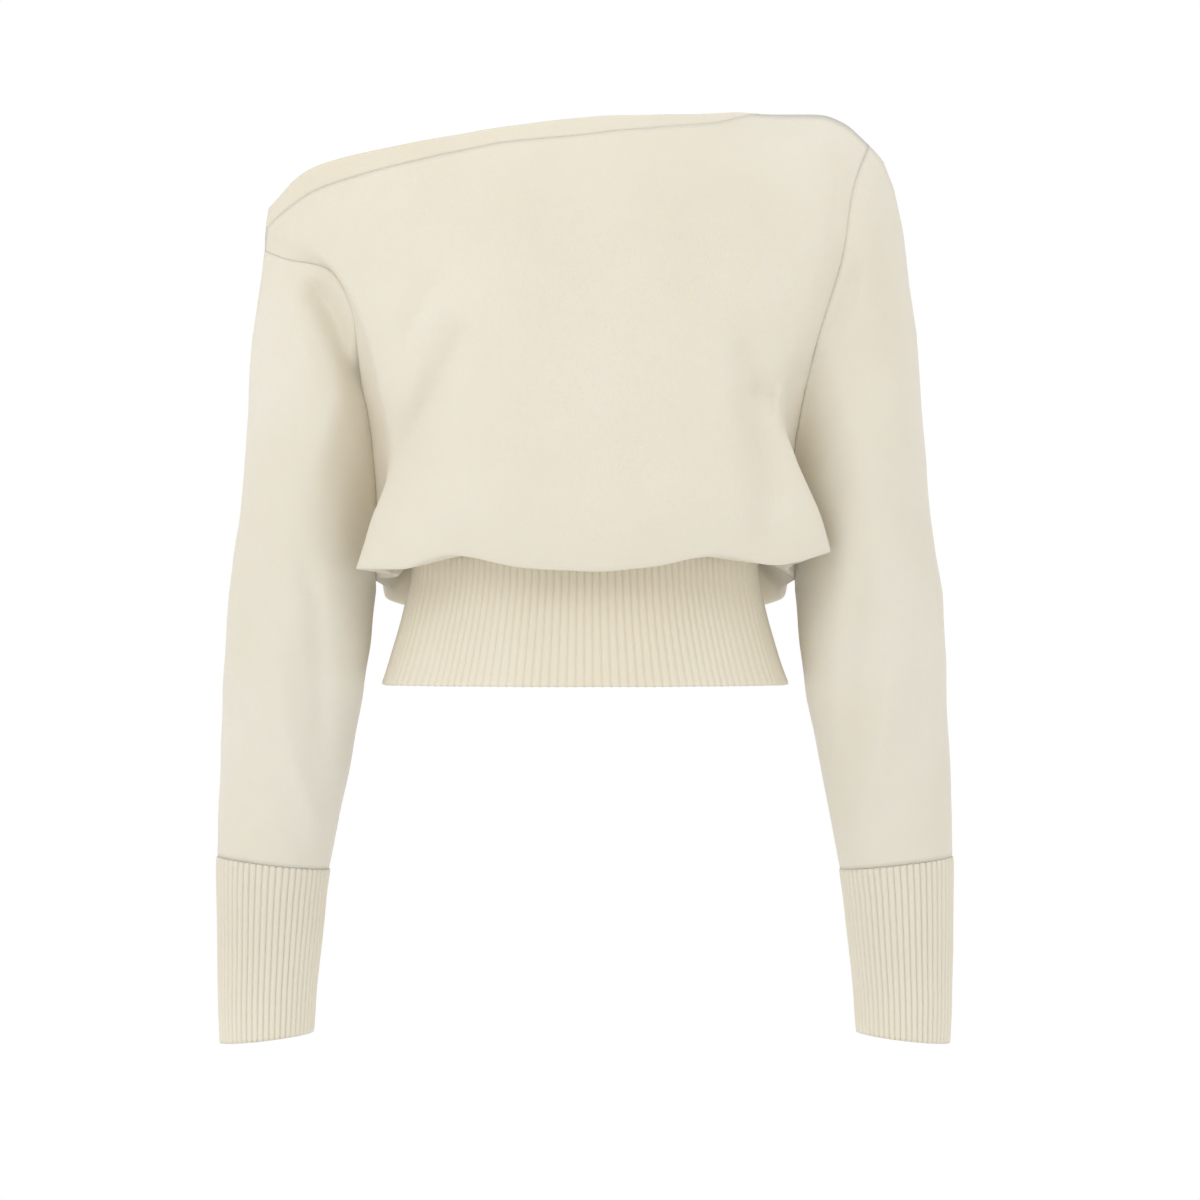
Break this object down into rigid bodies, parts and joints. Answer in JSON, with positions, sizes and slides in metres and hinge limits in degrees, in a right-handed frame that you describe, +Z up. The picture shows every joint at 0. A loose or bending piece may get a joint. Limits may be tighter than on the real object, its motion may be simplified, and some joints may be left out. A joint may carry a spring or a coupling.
{
  "type": "cropped knit sweater",
  "caption": "Cropped off-shoulder knit sweater in its worn, hollow form, with batwing sleeves, long ribbed cuffs and a wide ribbed waistband.",
  "frame": {"origin": "on the wearer's centre line, level with the cloth's bearing on top of the left shoulder", "axes": "+Z up, the front faces -Y, +X towards the wearer's left"},
  "size_m": [0.474, 0.239, 0.5994],
  "materials": {
    "jersey": "fine cream jersey knit, matt with a soft nap",
    "rib": "cream 1x1 rib knit, matt with a soft nap"
  },
  "bodies": {
    "root": {"front": "jersey", "back": "jersey", "sleeve_left": "jersey", "sleeve_right": "jersey", "cuff_left": "rib", "cuff_right": "rib", "waistband": "rib", "neckband": "rib"}
  },
  "joints": []
}
